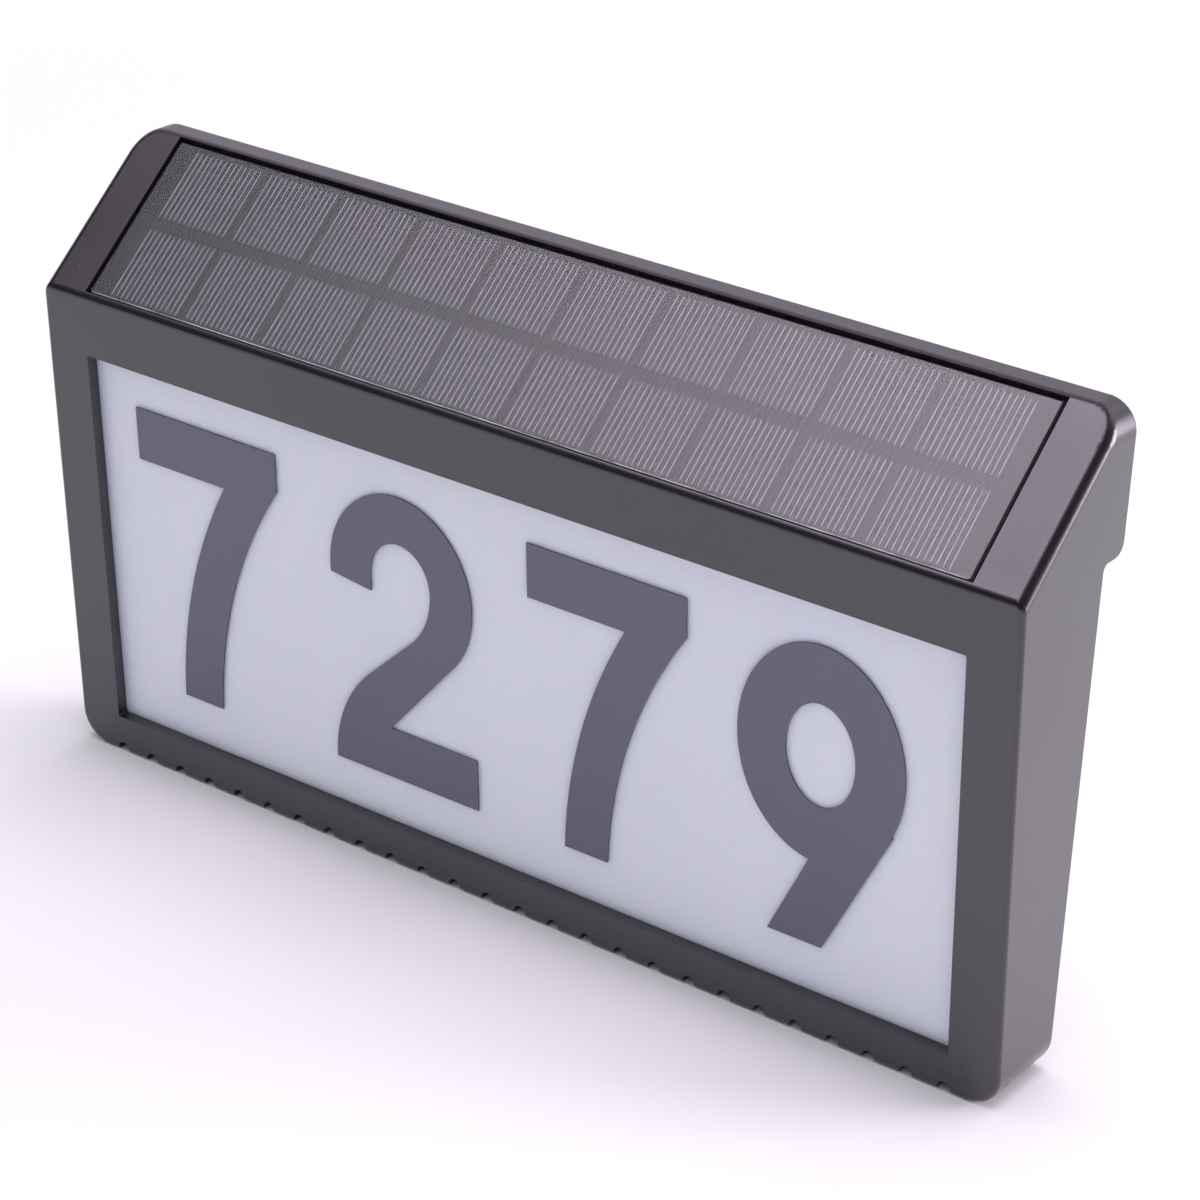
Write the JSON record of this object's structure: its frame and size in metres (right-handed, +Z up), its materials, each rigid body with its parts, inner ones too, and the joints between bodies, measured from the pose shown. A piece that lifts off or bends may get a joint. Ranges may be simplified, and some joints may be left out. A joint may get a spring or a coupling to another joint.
{
  "type": "solar illuminated house number sign",
  "caption": "Solar house number sign: a black wall-hung housing with a lit opal number panel at the front and a sloped solar panel on top.",
  "frame": {"origin": "centre of the bounding box at the underside of the housing", "axes": "+Z up, -Y out of the lit front, +Y towards the wall, +X to the right of someone who reads the numerals"},
  "size_m": [0.268, 0.0413, 0.156],
  "materials": {
    "black_abs": "fine satin moulded ABS, near black",
    "black_abs_rear": "fine textured moulded ABS, near black",
    "opal_acrylic": "opal white acrylic, satin",
    "numeral_vinyl": "dark grey matt numerals",
    "board_black": "black glass-fibre board",
    "silicon_cell": "dark silicon with fine silver grid lines",
    "clear_resin": "clear epoxy resin",
    "white_abs": "white ABS reflector",
    "zinc_screw": "zinc plated steel",
    "board_white": "white solder mask",
    "led_phosphor": "yellow phosphor LED",
    "lead_sleeve": "PVC sleeved lead",
    "battery_wrap": "blue shrink wrap",
    "inner_abs": "black ABS",
    "nickel_contact": "nickel plated spring steel",
    "board_green": "green solder mask",
    "chip_epoxy": "black epoxy package",
    "ferrite": "dark ferrite",
    "capacitor_can": "aluminium can",
    "connector_nylon": "natural nylon",
    "switch_abs": "black switch body",
    "button_rubber": "matt soft-touch push button",
    "seal_silicone": "grey-black silicone",
    "black_screw": "black oxide steel"
  },
  "bodies": {
    "sign": {"housing": "black_abs", "rear_cover": "black_abs_rear", "diffuser_panel": "opal_acrylic", "numeral_7_left": "numeral_vinyl", "numeral_2": "numeral_vinyl", "numeral_7_right": "numeral_vinyl", "numeral_9": "numeral_vinyl", "solar_backing": "board_black", "solar_cells": "silicon_cell", "solar_cover": "clear_resin", "light_tray": "white_abs", "tray_screws": "zinc_screw", "led_strip_upper": "board_white", "led_strip_lower": "board_white", "led_chips": "led_phosphor", "strip_link_leads": "lead_sleeve", "battery_cell": "battery_wrap", "battery_cradle": "inner_abs", "cradle_screws": "zinc_screw", "contact_plate": "nickel_contact", "contact_spring": "nickel_contact", "control_board": "board_green", "board_screws": "zinc_screw", "charge_chip": "chip_epoxy", "inductor": "ferrite", "capacitors": "capacitor_can", "lead_connectors": "connector_nylon", "switch_body": "switch_abs", "button_seal": "seal_silicone", "solar_leads": "lead_sleeve", "battery_leads": "lead_sleeve", "led_leads": "lead_sleeve", "cover_gasket": "seal_silicone", "cover_screws": "black_screw"},
    "button": {"mode_button": "button_rubber", "switch_plunger": "switch_abs"}
  },
  "joints": [
    {"name": "button_press", "type": "slide", "parent": "sign", "child": "button", "axis": [0, -1, 0], "range_m": [0, 0.0008], "stiffness_N_per_m": 1500, "springref_m": -0.0005}
  ]
}
